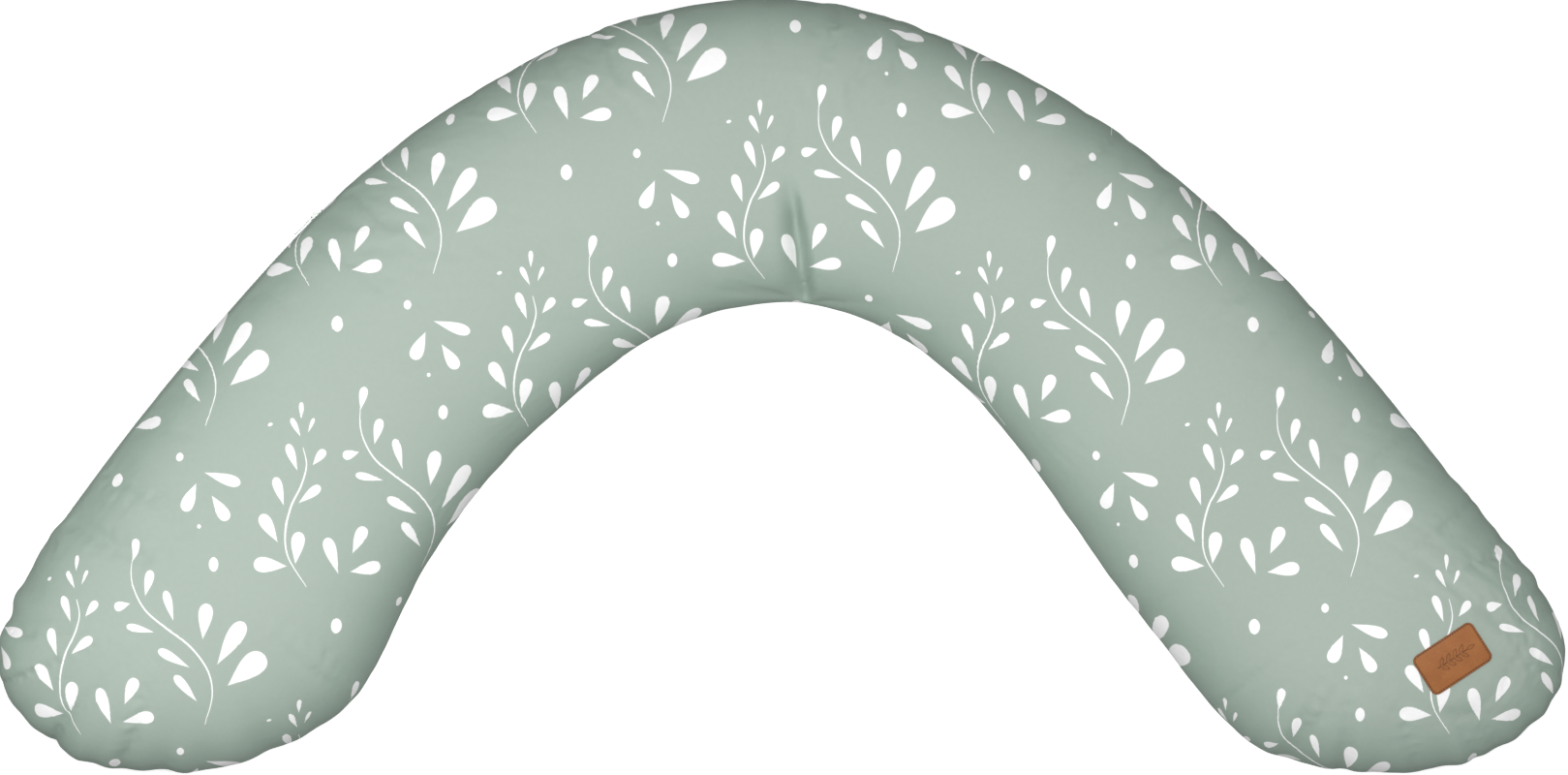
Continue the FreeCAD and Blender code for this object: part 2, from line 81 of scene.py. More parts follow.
# cloth simulation
SIM_FRAMES = 20
SIM_CAP = 0.005
SIM_PRESSURE = 3.0
SIM_SPARE = 0.07              # share by which the cloth at the seam is longer than its place
SIM_FREE = 0.98               # cloth freer than this isn't pinned
SIM_SMOOTHING = 30            # rounds of averaging that tell the folds from the swelling

# the soft crease at the inside of the bend
CREASE_X, CREASE_LEAN = 0.0, 0.105
CREASE_WIDTH, CREASE_SPREAD, CREASE_DEPTH = 0.0095, 0.06, 0.025
CREASE_TOP, CREASE_FULL = 0.210, 0.145
CREASE_RISE = (0.005, 0.045)  # heights above the seam between which it deepens
CREASE_FALL = (-1.2, 0.6)     # across it, in widths: the slow way down, then the quick way up
CREASE_CLIMB = (0.55, 1.15)

# gathers along the seam, and the broad unevenness of the fill
ARM_TIPS = (Vector((-0.64, -0.27, 0)), Vector((0.65, -0.28, 0)))
TIP_REACH = (0.12, 0.26)
PUCKER, PUCKER_AT_TIPS = 0.0008, 0.0040
FINE_GATHERS, BROAD_GATHERS, LUMPS = 42, 17, 7   # how many to a metre
FINE_SHARE, BROAD_SHARE, FOLD_SHARE = 1.1, 1.5, 1.8
FOLD_SHARPNESS = 4.5
LUMP_HEIGHT = 0.0022


# ---- small helpers ----

def coords(mesh):
    flat = np.empty(len(mesh.vertices) * 3)
    mesh.vertices.foreach_get("co", flat)
    return flat.reshape(-1, 3)


def set_coords(mesh, points):
    mesh.vertices.foreach_set("co", np.ascontiguousarray(points, dtype=np.float64).ravel())
    mesh.update()


def normals(mesh):
    flat = np.empty(len(mesh.vertices) * 3)
    mesh.vertex_normals.foreach_get("vector", flat)
    return flat.reshape(-1, 3)


def smoothstep(low, high, value):
    t = np.clip((value - low) / (high - low), 0, 1)
    return t * t * (3 - 2 * t)


def add_object(name, mesh):
    obj = bpy.data.objects.new(name, mesh)
    bpy.context.scene.collection.objects.link(obj)
    return obj


def apply_modifiers(obj):
    graph = bpy.context.evaluated_depsgraph_get()
    mesh = bpy.data.meshes.new_from_object(obj.evaluated_get(graph), depsgraph=graph)
    obj.modifiers.clear()
    obj.data = mesh


def shade_smooth(mesh):
    mesh.polygons.foreach_set("use_smooth", [True] * len(mesh.polygons))


# ---- the skin of the cushion, taken from the CAD cover ----

def outer_triangles():
    """Corner points of the cover's outward faces, and of a strip that closes the zip opening."""
    triangles = []
    for name in ("cover_top_panel", "cover_bottom_panel"):
        mesh = NODES[name].data
        mesh.calc_loop_triangles()
        points = coords(mesh)
        corners = np.array([t.vertices[:] for t in mesh.loop_triangles])
        triangles.append(points[corners])
    faces = np.concatenate(triangles)
    tree = BVHTree.FromPolygons(faces.reshape(-1, 3).tolist(),
                                np.arange(len(faces) * 3).reshape(-1, 3).tolist())
    cross = np.cross(faces[:, 1] - faces[:, 0], faces[:, 2] - faces[:, 0])
    area = np.linalg.norm(cross, axis=1)
    real = area > TINY_AREA
    faces, ways = faces[real], cross[real] / area[real][:, None]
    starts = faces.mean(axis=1) + ways * RAY_LIFT
    kept = [face for face, start, way in zip(faces, starts, ways)
            if tree.ray_cast(Vector(start), Vector(way), SKIN_REACH)[0] is None]
    kept = [face for face in kept if not is_lip(face)]
    for i in range(ZIP_STEPS):
        a = ZIP_LOW + (ZIP_HIGH - ZIP_LOW) * i / ZIP_STEPS
        b = ZIP_LOW + (ZIP_HIGH - ZIP_LOW) * (i + 1) / ZIP_STEPS
        low_a, low_b, high_b, high_a = (zip_point(a, -ZIP_SLOT), zip_point(b, -ZIP_SLOT),
                                        zip_point(b, ZIP_SLOT), zip_point(a, ZIP_SLOT))
        kept += [np.array([low_a, low_b, high_b]), np.array([low_a, high_b, high_a])]
    return np.array(kept)


def is_lip(face):
    """Whether a face lies flat at the seam or at an edge of the zip opening."""
    height = face[:, 2]
    level = abs(height.mean() - SEAM_Z)
    return height.max() - height.min() < FLAT and level < ZIP_SLOT + 10 * FLAT


def zip_point(angle, up):
    """A point on the zip's arc, a height above the seam."""
    x = ZIP_CENTRE.x + ZIP_RADIUS * math.cos(angle)
    y = ZIP_CENTRE.y + ZIP_RADIUS * math.sin(angle)
    return Vector((x, y, SEAM_Z + up))


def make_skin():
    """An even mesh that lies on the cover's outward faces."""
    triangles = outer_triangles()
    mesh = bpy.data.meshes.new("skin")
    index = np.arange(len(triangles) * 3).reshape(-1, 3)
    mesh.from_pydata(triangles.reshape(-1, 3).tolist(), [], index.tolist())
    work = bmesh.new()
    work.from_mesh(mesh)
    bmesh.ops.remove_doubles(work, verts=work.verts, dist=WELD)
    work.to_mesh(mesh)
    work.free()
    skin = add_object("skin", mesh)
    remesh = skin.modifiers.new("remesh", "REMESH")
    remesh.mode = "VOXEL"
    remesh.voxel_size = VOXEL
    apply_modifiers(skin)
    tree = BVHTree.FromPolygons(triangles.reshape(-1, 3).tolist(), index.tolist())
    snap(skin.data, tree)
    relax(skin.data, 2, 0.5)
    snap(skin.data, tree)
    return skin


def snap(mesh, tree):
    """Move each point to the nearest place on the tree's faces."""
    set_coords(mesh, np.array([tree.find_nearest(Vector(p))[0] for p in coords(mesh)]))


def relax(mesh, rounds, share):
    """Even out the mesh: each round moves every point a share of the way to its neighbours' middle."""
    edges = np.array([edge.vertices[:] for edge in mesh.edges])
    points = coords(mesh)
    count = np.bincount(edges.ravel(), minlength=len(points))[:, None]
    for _ in range(rounds):
        total = np.zeros_like(points)
        np.add.at(total, edges[:, 0], points[edges[:, 1]])
        np.add.at(total, edges[:, 1], points[edges[:, 0]])
        points = points + (total / count - points) * share
    set_coords(mesh, points)


# ---- cross-section measures ----

def section_angle(ways):
    """Each point's angle round a typical cross-section: 0 at the seam and a quarter turn at the crown."""
    level = np.hypot(ways[:, 0], ways[:, 1])
    return np.arctan2(HALF_HEIGHT * np.abs(ways[:, 2]), HALF_WIDTH * level)


def outward(ways):
    """The level part of each direction, at length 1."""
    level = np.hypot(ways[:, 0], ways[:, 1])[:, None]
    return ways[:, :2] / np.maximum(level, NO_WAY)


def arc_excess(angle):
    """How much longer the cloth is than its plan, from the crown down to an angle."""
    grid = np.linspace(math.pi / 2, 0, ARC_STEPS)
    speed = np.hypot(HALF_WIDTH * np.sin(grid), HALF_HEIGHT * np.cos(grid))
    arc = np.concatenate([[0], np.cumsum((speed[1:] + speed[:-1]) / 2 * -np.diff(grid))])
    excess = arc - HALF_WIDTH * np.cos(grid)
    return np.interp(angle, grid[::-1], excess[::-1])


def still_zone(points):
    """1 where the cloth may move, falling to 0 at the zip, under the patch and on the floor."""
    low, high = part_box("leather_patch")
    centre = (low + high) / 2
    patch = np.hypot(points[:, 0] - centre.x, points[:, 1] - centre.y)
    free = np.where(points[:, 2] > SEAM_Z, smoothstep(*STILL_PATCH, patch), 1.0)
    angle = np.arctan2(points[:, 1] - ZIP_CENTRE.y, points[:, 0] - ZIP_CENTRE.x)
    along = np.maximum(ZIP_HIGH - angle, angle - ZIP_LOW) * ZIP_RADIUS
    spread = np.hypot(points[:, 0] - ZIP_CENTRE.x, points[:, 1] - ZIP_CENTRE.y)
    level = np.maximum(np.abs(points[:, 2] - SEAM_Z) - STILL_ZIP_HEIGHT, 0)
    far = spread < ZIP_RADIUS - ZIP_FLANK
    gap = np.hypot(np.maximum(along, 0), level) + np.where(far, 1.0, 0.0)
    free = free * smoothstep(0.0, STILL_ZIP_FADE, gap)
    return free * smoothstep(0.0, STILL_FLOOR_FADE, points[:, 2])


def crease(points):
    """Depth of the soft fold at the inside of the bend, which fades out at its top and towards the seam."""
    along = CREASE_TOP - points[:, 1]
    middle = CREASE_X + CREASE_LEAN * along
    across = (points[:, 0] - middle) / (CREASE_WIDTH + CREASE_SPREAD * along)
    fade = 1 - smoothstep(CREASE_FULL, CREASE_TOP, points[:, 1])
    over = smoothstep(SEAM_Z + CREASE_RISE[0], SEAM_Z + CREASE_RISE[1], points[:, 2])
    down = (across - CREASE_FALL[0]) / (CREASE_FALL[1] - CREASE_FALL[0])
    fall = np.clip(down, 0, 1) ** 2 - smoothstep(*CREASE_CLIMB, across)
    return CREASE_DEPTH * fall * fade * over


def puckers(points, ways):
    """Small gathers square to the seam, strongest round the tips of the arms."""
    angle = section_angle(ways)
    rim = points[:, :2] + outward(ways) * (HALF_WIDTH * (1 - np.cos(angle)))[:, None]
    tips = np.min([np.hypot(points[:, 0] - tip.x, points[:, 1] - tip.y) for tip in ARM_TIPS], axis=0)
    strength = PUCKER + (PUCKER_AT_TIPS - PUCKER) * (1 - smoothstep(*TIP_REACH, tips))
    fine = unevenness(rim * FINE_GATHERS, 0.3)
    broad = unevenness(rim * BROAD_GATHERS, 4.1)
    near = np.cos(angle) ** 4
    wide = np.cos(angle) ** 1.5 * np.sin(angle) ** 0.5
    folds = np.maximum(0, 1 - FOLD_SHARPNESS * np.abs(broad)) ** 2
    return strength * (fine * FINE_SHARE * near + (broad * BROAD_SHARE - folds * FOLD_SHARE) * wide)


def unevenness(spots, layer):
    """Smooth noise over level places, different in each layer."""
    return np.array([noise.noise(Vector((x, y, layer))) for x, y in spots])


def soften(points):
    """Very broad unevenness of the fill."""
    return np.array([noise.noise(Vector(spot)) for spot in points * LUMPS]) * LUMP_HEIGHT


# ---- cloth simulation ----

def simulate(skin, free):
    """Let the cloth settle over the pressure inside it, with some spare cloth along the seam."""
    base = coords(skin.data)
    pins = skin.vertex_groups.new(name="pins")
    slack = skin.vertex_groups.new(name="slack")
    angle = section_angle(normals(skin.data))
    spare = np.cos(angle) ** 2
    for i in range(len(base)):
        if free[i] < SIM_FREE:
            pins.add([i], float(1 - free[i]), "REPLACE")
        slack.add([i], float(spare[i]), "REPLACE")
    cloth = skin.modifiers.new("cloth", "CLOTH")
    settings = cloth.settings
    settings.quality = 4
    settings.mass = 0.2
    settings.air_damping = 2.0
    settings.tension_stiffness = 20
    settings.compression_stiffness = 12
    settings.shear_stiffness = 6
    settings.bending_stiffness = 0.08
    settings.use_pressure = True
    settings.uniform_pressure_force = SIM_PRESSURE
    settings.vertex_group_mass = "pins"
    settings.pin_stiffness = 2.0
    settings.shrink_min = 0.0
    settings.shrink_max = -SIM_SPARE
    settings.vertex_group_shrink = "slack"
    settings.effector_weights.gravity = 0.0
    cloth.collision_settings.use_collision = False
    cloth.point_cache.frame_start = 1
    cloth.point_cache.frame_end = SIM_FRAMES
    scene = bpy.context.scene
    scene.frame_start, scene.frame_end = 1, SIM_FRAMES
    for step in range(1, SIM_FRAMES + 1):
        scene.frame_set(step)
    graph = bpy.context.evaluated_depsgraph_get()
    done = coords(skin.evaluated_get(graph).to_mesh())
    skin.modifiers.clear()
    skin.vertex_groups.clear()
    scene.frame_set(1)
    move = done - base
    move -= smooth_field(skin.data, move, SIM_SMOOTHING)
    length = np.linalg.norm(move, axis=1)[:, None]
    move = move * (np.tanh(length / SIM_CAP) * SIM_CAP / np.maximum(length, TINY)) * free[:, None]
    print("cloth moved up to", round(float(np.linalg.norm(move, axis=1).max()) * 1000, 2), "mm")
    return move


def lowest_nearby(mesh, field):
    """At each point, the lowest value there and at its neighbours."""
    edges = np.array([edge.vertices[:] for edge in mesh.edges])
    low = field.copy()
    np.minimum.at(low, edges[:, 0], field[edges[:, 1]])
    np.minimum.at(low, edges[:, 1], field[edges[:, 0]])
    return low


def smooth_field(mesh, field, rounds):
    """A field over the mesh with its fine detail averaged away."""
    edges = np.array([edge.vertices[:] for edge in mesh.edges])
    count = np.bincount(edges.ravel(), minlength=len(field))
    if field.ndim > 1:
        count = count[:, None]
    for _ in range(rounds):
        total = np.zeros_like(field)
        np.add.at(total, edges[:, 0], field[edges[:, 1]])
        np.add.at(total, edges[:, 1], field[edges[:, 0]])
        field = total / count
    return field


# ---- panels cut from the skin ----

def cut_panel(skin, name, upper):
    """The part of the skin above or below the seam."""
    work = bmesh.new()
    work.from_mesh(skin.data)
    bmesh.ops.bisect_plane(work, geom=work.verts[:] + work.edges[:] + work.faces[:], dist=CUT_TOLERANCE,
                           plane_co=Vector((0, 0, SEAM_Z)), plane_no=Vector((0, 0, 1)),
                           clear_inner=upper, clear_outer=not upper)
    mesh = bpy.data.meshes.new(name)
    work.to_mesh(mesh)
    work.free()
    return add_object(name, mesh)


def open_zip(panel, upper):
    """Cut the panel back from the seam along the zip, and turn its edge in."""
    work = bmesh.new()
    work.from_mesh(panel.data)
    side = 1 if upper else -1

    def in_zone(centre, margin):
        """Whether a place is on the zip's stretch of the flank, or a margin past its ends."""
        angle = math.atan2(centre.y - ZIP_CENTRE.y, centre.x - ZIP_CENTRE.x)
        far = math.hypot(centre.x - ZIP_CENTRE.x, centre.y - ZIP_CENTRE.y)
        return (ZIP_HIGH - margin < angle < ZIP_LOW + margin and far > ZIP_RADIUS - ZIP_FLANK
                and abs(centre.z - SEAM_Z) < 4 * ZIP_SLOT)

    def cut(point, normal):
        """Split the faces near the zip where a plane crosses them."""
        faces = [face for face in work.faces if in_zone(face.calc_center_median(), CUT_MARGIN)]
        geometry = set(faces)
        for face in faces:
            geometry.update(face.edges)
            geometry.update(face.verts)
        bmesh.ops.bisect_plane(work, geom=list(geometry), plane_co=point, plane_no=normal,
                               dist=CUT_TOLERANCE)

    cut(Vector((0, 0, SEAM_Z + side * ZIP_SLOT)), Vector((0, 0, 1)))
    for angle in (ZIP_LOW, ZIP_HIGH):
        cut(zip_point(angle, 0), Vector((-math.sin(angle), math.cos(angle), 0)))
    gone = [face for face in work.faces if in_zone(face.calc_center_median(), 0.0)
            and abs(face.calc_center_median().z - SEAM_Z) < ZIP_SLOT]
    bmesh.ops.delete(work, geom=gone, context="FACES")
    rim = [edge for edge in work.edges if edge.is_boundary
           and in_zone((edge.verts[0].co + edge.verts[1].co) / 2, RIM_MARGIN)
           and max(abs(v.co.z - SEAM_Z) for v in edge.verts) > FLAT]
    made = bmesh.ops.extrude_edge_only(work, edges=rim)
    for vert in [g for g in made["geom"] if isinstance(g, bmesh.types.BMVert)]:
        inward = Vector((ZIP_CENTRE.x - vert.co.x, ZIP_CENTRE.y - vert.co.y, 0)).normalized()
        vert.co += inward * ZIP_HEM
    work.to_mesh(panel.data)
    work.free()


def sink_seam(panel):
    """Draw the sewn edge in a little, so that the seam reads as a groove."""
    points = coords(panel.data)
    ways = normals(panel.data)
    at_seam = np.abs(points[:, 2] - SEAM_Z) < FLAT
    level = outward(ways)
    free = still_zone(points)
    points[at_seam, :2] -= level[at_seam] * SEAM_SINK * free[at_seam][:, None]
    set_coords(panel.data, points)


# ---- the leaf print, laid out on the flat cloth in millimetres ----

CELL_A, CELL_B = np.array([218.0, 144.0]), np.array([218.0, -144.0])
UNDERSIDE_SHIFT = (0.095, 0.060)
CLOTH_TAKE_UP = 0.5           # share of the extra length over the curve that the print follows
SLIM_STEM = [(-20, 229), (-17, 213), (-22, 194), (-32, 173), (-37, 149), (-34, 125), (-18, 99)]
FULL_STEM = [(34, 266), (35, 244), (47, 220), (68, 202), (91, 184), (107, 161), (111, 137), (104, 109)]
STEM_HALF_WIDTH, STEM_END = 1.05, 0.35   # at the middle, and its share at the ends
STEM_STEPS = 7                # pieces between two points of a stem
CELLS = range(-6, 7)
CLOTH_REACH = (1150, 900)     # the print covers this far from the pillow's middle
CLOTH_MIDDLE = -150
LEAF_SAMPLES = (0.12, 0.35, 0.6, 0.85)   # places along a leaf that the search for the nearest one uses
MM = 0.001

# each leaf: where its point is, how long and wide it is, and the way it points in degrees
SLIM_LEAVES = [
    (-22, 256, 17, 5, 90), (-22, 239, 21, 6, 117), (-16, 243, 16, 4, 68), (-25, 206, 29, 9, 110),
    (-12, 212, 20, 9, 52), (-38, 173, 30, 10, 107), (-26, 176, 28, 10, 38), (-43, 138, 33, 13, 121),
    (-28, 117, 33, 14, 83), (-33, 117, 34, 16, 176),
]
FULL_LEAVES = [
    (34, 264, 24, 9, 80), (47, 231, 27, 10, 77), (34, 226, 17, 10, 195), (75, 207, 32, 9, 105),
    (58, 198, 29, 8, 168), (102, 189, 37, 15, 83), (92, 163, 37, 10, 150), (114, 164, 52, 18, 58),
    (98, 129, 36, 10, 129), (123, 144, 50, 25, 40),
]
LOOSE_LEAVES = [
    (14, 107, 39, 13, 108), (26, 127, 30, 13, 66), (22, 111, 33, 14, 9),
    (-117, 207, 39, 12, -17), (-121, 198, 31, 14, -114), (-108, 186, 30, 13, -57),
]
DOTS = [(-206, 196, 15, 12, 90), (-105, 112, 14, 10, 90), (-139, 217, 9, 8, 90), (-119, 153, 4, 4, 90),
        (-54, 251, 5, 3.5, 20)]


def curve_through(points, steps):
    """A smooth run of points through the given ones."""
    p = np.array([points[0]] + list(points) + [points[-1]], float)
    run = []
    for i in range(1, len(p) - 2):
        for t in np.arange(steps) / steps:
            run.append(0.5 * (2 * p[i] + (p[i + 1] - p[i - 1]) * t
                              + (2 * p[i - 1] - 5 * p[i] + 4 * p[i + 1] - p[i + 2]) * t ** 2
                              + (3 * p[i] - p[i - 1] - 3 * p[i + 1] + p[i + 2]) * t ** 3))
    return np.array(run + [p[-1]])


def leaf(x, y, length, width, degrees):
    """A drop-shaped leaf or an oval dot: its point at x, y, its round head a length away."""
    turn = math.radians(degrees)
    return (x, y, length, width, math.cos(turn), math.sin(turn))


def print_layout():
    """All leaves and stem pieces of the cloth, in metres."""
    leaves = [leaf(*spot) for spot in SLIM_LEAVES + FULL_LEAVES + LOOSE_LEAVES]
    ovals = [leaf(*spot) for spot in DOTS]
    stems = [curve_through(stem, STEM_STEPS) for stem in (SLIM_STEM, FULL_STEM)]
    all_leaves, pieces = [], []
    for i in CELLS:
        for j in CELLS:
            shift = CELL_A * i + CELL_B * j
            if abs(shift[0]) > CLOTH_REACH[0] or abs(shift[1] - CLOTH_MIDDLE) > CLOTH_REACH[1]:
                continue
            for kind, group in ((0, leaves), (1, ovals)):
                all_leaves += [(x + shift[0], y + shift[1], length, width, c, s, kind)
                               for x, y, length, width, c, s in group]
            for line in stems:
                swell = np.sin(np.linspace(0, math.pi, len(line)))
                half = STEM_HALF_WIDTH * (STEM_END + (1 - STEM_END) * swell)
                for k in range(len(line) - 1):
                    pieces.append((*(line[k] + shift), *(line[k + 1] + shift), half[k], half[k + 1]))
    leaf_table = np.array(all_leaves)
    leaf_table[:, :4] *= MM
    return leaf_table, np.array(pieces) * MM


def tree_of(points):
    """A search tree over level places."""
    tree = kdtree.KDTree(len(points))
    for i, point in enumerate(points):
        tree.insert((point[0], point[1], 0), i)
    tree.balance()
    return tree


def lay_print(mesh, leaf_table, stem_table, upper):
    """Write, for each face corner, its place on the nearest leaf and on the nearest piece of stem.

    All corners of a face use the leaf and the stem nearest to its middle, so that a face isn't split.
    """
    cloth = np.empty(len(mesh.vertices) * 3)
    mesh.attributes["cloth"].data.foreach_get("vector", cloth)
    cloth = cloth.reshape(-1, 3)[:, :2]
    if not upper:
        cloth = cloth * (-1, 1) + UNDERSIDE_SHIFT
    loops = np.empty(len(mesh.loops), int)
    mesh.loops.foreach_get("vertex_index", loops)
    starts = np.empty(len(mesh.polygons), int)
    mesh.polygons.foreach_get("loop_start", starts)
    totals = np.empty(len(mesh.polygons), int)
    mesh.polygons.foreach_get("loop_total", totals)
    owner = np.repeat(np.arange(len(starts)), totals)
    spot = cloth[loops]
    middle = np.stack([np.bincount(owner, spot[:, k]) / totals for k in (0, 1)], axis=1)

    reach = leaf_table[:, 4:6] * leaf_table[:, 2:3]
    leaf_tree = tree_of(np.concatenate([leaf_table[:, :2] + reach * share for share in LEAF_SAMPLES]))
    nearest = np.array([leaf_tree.find((x, y, 0))[1] for x, y in middle]) % len(leaf_table)
    own = leaf_table[nearest[owner]]
    offset = spot - own[:, :2]
    along = (offset[:, 0] * own[:, 4] + offset[:, 1] * own[:, 5]) / own[:, 2]
    across = (offset[:, 1] * own[:, 4] - offset[:, 0] * own[:, 5]) / (own[:, 3] / 2)
    put_uv(mesh, "leaf", along, across)
    put_uv(mesh, "leaf_kind", own[:, 6], np.zeros(len(own)))

    centres = (stem_table[:, :2] + stem_table[:, 2:4]) / 2
    stem_tree = tree_of(centres)
    nearest = np.array([stem_tree.find((x, y, 0))[1] for x, y in middle])
    own = stem_table[nearest[owner]]
    way = own[:, 2:4] - own[:, :2]
    length = np.linalg.norm(way, axis=1)
    offset = spot - own[:, :2]
    along = (offset * way).sum(axis=1) / length ** 2
    half = own[:, 4] + (own[:, 5] - own[:, 4]) * np.clip(along, 0, 1)
    across = (offset[:, 1] * way[:, 0] - offset[:, 0] * way[:, 1]) / length / half
    put_uv(mesh, "stem", across, along)
    put_uv(mesh, "weave", spot[:, 0], spot[:, 1])


def put_uv(mesh, name, u, v):
    layer = mesh.uv_layers.new(name=name, do_init=False)
    layer.data.foreach_set("uv", np.stack([u, v], axis=1).astype(np.float32).ravel())


# ---- materials ----

# SAGE is the cloth's own colour; the second colour is painted shade, a darker, greener sage for the pillow's
# sides
SAGE, SAGE_SIDE_SHADE = (0.377, 0.446, 0.395, 1), (0.325, 0.412, 0.352, 1)
SIDE_SHADE_TURN = 0.32                  # how far the cloth turns from level before it has its full painted side shade
PRINT_WHITE = (0.94, 0.945, 0.94, 1)
THREAD_PITCH = 0.00075
BASE_TONE, SLUB_TONE, FADE_TONE, THREAD_TONE = 0.915, 0.07, 0.10, 0.018
DROP_POINT, DROP_HEAD, DROP_SCALE = 1.3, 0.45, 2.71   # a drop's half width is 1 at its widest place
LEAF_EDGE = 12.0              # how sharp the edge of a printed leaf is
LEAF_TRIM = 0.05              # taken off its half width, so that its ends close
STEM_EDGE = 4.0
STEM_OVERLAP = 0.7            # how far a piece of stem runs past its ends, in its own lengths
NEARLY_0, NEARLY_1 = 0.0001, 0.9999

LEATHER_LIGHT, LEATHER_DEEP = (0.52, 0.205, 0.062, 1), (0.29, 0.098, 0.026, 1)
LEATHER_DARK = (0.10, 0.035, 0.014, 1)
GRAIN_CELLS = 1100.0          # to a metre
TWIG_SHADE_REACH = 0.0022        # hollows narrower than this get painted shade, from ambient occlusion put into the colour
# the patch's outline, for the marks along its edge
PATCH_SIZE, PATCH_CORNER, PATCH_TURN = (0.068, 0.0435), 0.0065, math.radians(33.0)
PATCH_SEAM, PATCH_SEAM_HALF, PATCH_RIM = 0.0017, 0.0012, 0.0010


def new_material(name):
    material = bpy.data.materials.new(name)
    material.use_nodes = True
    tree = material.node_tree
    return material, tree, tree.nodes["Principled BSDF"]


class Maths:
    """Short forms for a material's arithmetic nodes."""

    def __init__(self, tree):
        self.tree = tree

    def __call__(self, kind, a, b=None, clamp=False):
        node = self.tree.nodes.new("ShaderNodeMath")
        node.operation = kind
        node.use_clamp = clamp
        for socket, value in zip(node.inputs, (a, b)):
            if value is None:
                continue
            if isinstance(value, (int, float)):
                socket.default_value = value
            else:
                self.tree.links.new(value, socket)
        return node.outputs[0]

    def split(self, vector):
        node = self.tree.nodes.new("ShaderNodeSeparateXYZ")
        self.tree.links.new(vector, node.inputs[0])
        return node.outputs

    def uv(self, name):
        node = self.tree.nodes.new("ShaderNodeUVMap")
        node.uv_map = name
        parts = self.split(node.outputs[0])
        return parts[0], parts[1], node.outputs[0]

    def mix(self, share, a, b):
        node = self.tree.nodes.new("ShaderNodeMix")
        node.data_type = "RGBA"
        for socket, value in ((node.inputs[0], share), (node.inputs[6], a), (node.inputs[7], b)):
            if isinstance(value, (tuple, float, int)):
                socket.default_value = value
            else:
                self.tree.links.new(value, socket)
        return node.outputs[2]

    def noise(self, vector, scale, detail):
        node = self.tree.nodes.new("ShaderNodeTexNoise")
        node.inputs["Scale"].default_value = scale
        node.inputs["Detail"].default_value = detail
        self.tree.links.new(vector, node.inputs["Vector"])
        return node.outputs[0]

    def bump(self, height, strength, distance, under=None):
        node = self.tree.nodes.new("ShaderNodeBump")
        node.inputs["Strength"].default_value = strength
        node.inputs["Distance"].default_value = distance
        self.tree.links.new(height, node.inputs["Height"])
        if under is not None:
            self.tree.links.new(under, node.inputs["Normal"])
        return node.outputs[0]

    def bevel(self, radius):
        node = self.tree.nodes.new("ShaderNodeBevel")
        node.inputs["Radius"].default_value = radius
        return node.outputs[0]

    def steepness(self):
        """0 on level cloth and 1 on upright cloth."""
        way = self.tree.nodes.new("ShaderNodeNewGeometry").outputs["Normal"]
        return self("SUBTRACT", 1.0, self("ABSOLUTE", self.split(way)[2]))

    def position(self):
        return self.tree.nodes.new("ShaderNodeTexCoord").outputs["Object"]


def leaf_mask(m):
    """1 on a printed leaf or dot. A leaf's half width is a drop's, a dot's is an oval's."""
    along, across, _ = m.uv("leaf")
    kind, _, _ = m.uv("leaf_kind")
    inside = m("MINIMUM", m("MAXIMUM", along, NEARLY_0), NEARLY_1)
    rest = m("SUBTRACT", 1.0, inside)
    drop = m("MULTIPLY", m("POWER", inside, DROP_POINT), m("POWER", rest, DROP_HEAD))
    drop = m("MULTIPLY", drop, DROP_SCALE)
    oval = m("MULTIPLY", m("SQRT", m("MULTIPLY", inside, rest)), 2.0)
    shape = m("ADD", m("MULTIPLY", drop, m("SUBTRACT", 1.0, kind)), m("MULTIPLY", oval, kind))
    edge = m("SUBTRACT", m("SUBTRACT", shape, m("ABSOLUTE", across)), LEAF_TRIM)
    return m("MULTIPLY", edge, LEAF_EDGE, clamp=True)


def stem_mask(m):
    """1 on a printed stem."""
    side, run, _ = m.uv("stem")
    in_run = m("LESS_THAN", m("ABSOLUTE", m("SUBTRACT", run, 0.5)), 0.5 + STEM_OVERLAP)
    mask = m("MULTIPLY", m("SUBTRACT", 1.0, m("ABSOLUTE", side)), STEM_EDGE, clamp=True)
    return m("MULTIPLY", mask, in_run)


def cover_material():
    """Plain-woven cotton in sage green, with painted shade that makes the colour darker and greener on the
    pillow's sides, and the white print.
    """
    material, tree, shader = new_material("printed_cotton")
    m = Maths(tree)
    mask = m("MAXIMUM", leaf_mask(m), stem_mask(m))
    u, v, weave = m.uv("weave")
    warp = m("SINE", m("MULTIPLY", u, 2 * math.pi / THREAD_PITCH))
    weft = m("SINE", m("MULTIPLY", v, 2 * math.pi / THREAD_PITCH))
    threads = m("MULTIPLY", warp, weft)
    slub = m.noise(weave, scale=190.0, detail=3.0)
    fade = m.noise(weave, scale=5.0, detail=2.0)
    tone = m("ADD", m("MULTIPLY", slub, SLUB_TONE), m("MULTIPLY", fade, FADE_TONE))
    tone = m("ADD", tone, m("MULTIPLY", threads, THREAD_TONE))
    tone = m("ADD", tone, BASE_TONE)
    # painted shade: the sage is mixed towards its darker side colour as the cloth turns upright
    sage = m.mix(m("DIVIDE", m.steepness(), SIDE_SHADE_TURN, clamp=True), SAGE, SAGE_SIDE_SHADE)
    ground = m.mix(mask, sage, PRINT_WHITE)
    scaled = tree.nodes.new("ShaderNodeVectorMath")
    scaled.operation = "SCALE"
    tree.links.new(ground, scaled.inputs[0])
    tree.links.new(tone, scaled.inputs["Scale"])
    tree.links.new(scaled.outputs[0], shader.inputs["Base Color"])
    rough = m("SUBTRACT", 0.93, m("MULTIPLY", mask, 0.18))
    tree.links.new(rough, shader.inputs["Roughness"])
    height = m("ADD", m("MULTIPLY", threads, 0.5), slub)
    tree.links.new(m.bump(height, strength=0.25, distance=0.0003), shader.inputs["Normal"])
    shader.inputs["Specular IOR Level"].default_value = 0.08
    return material


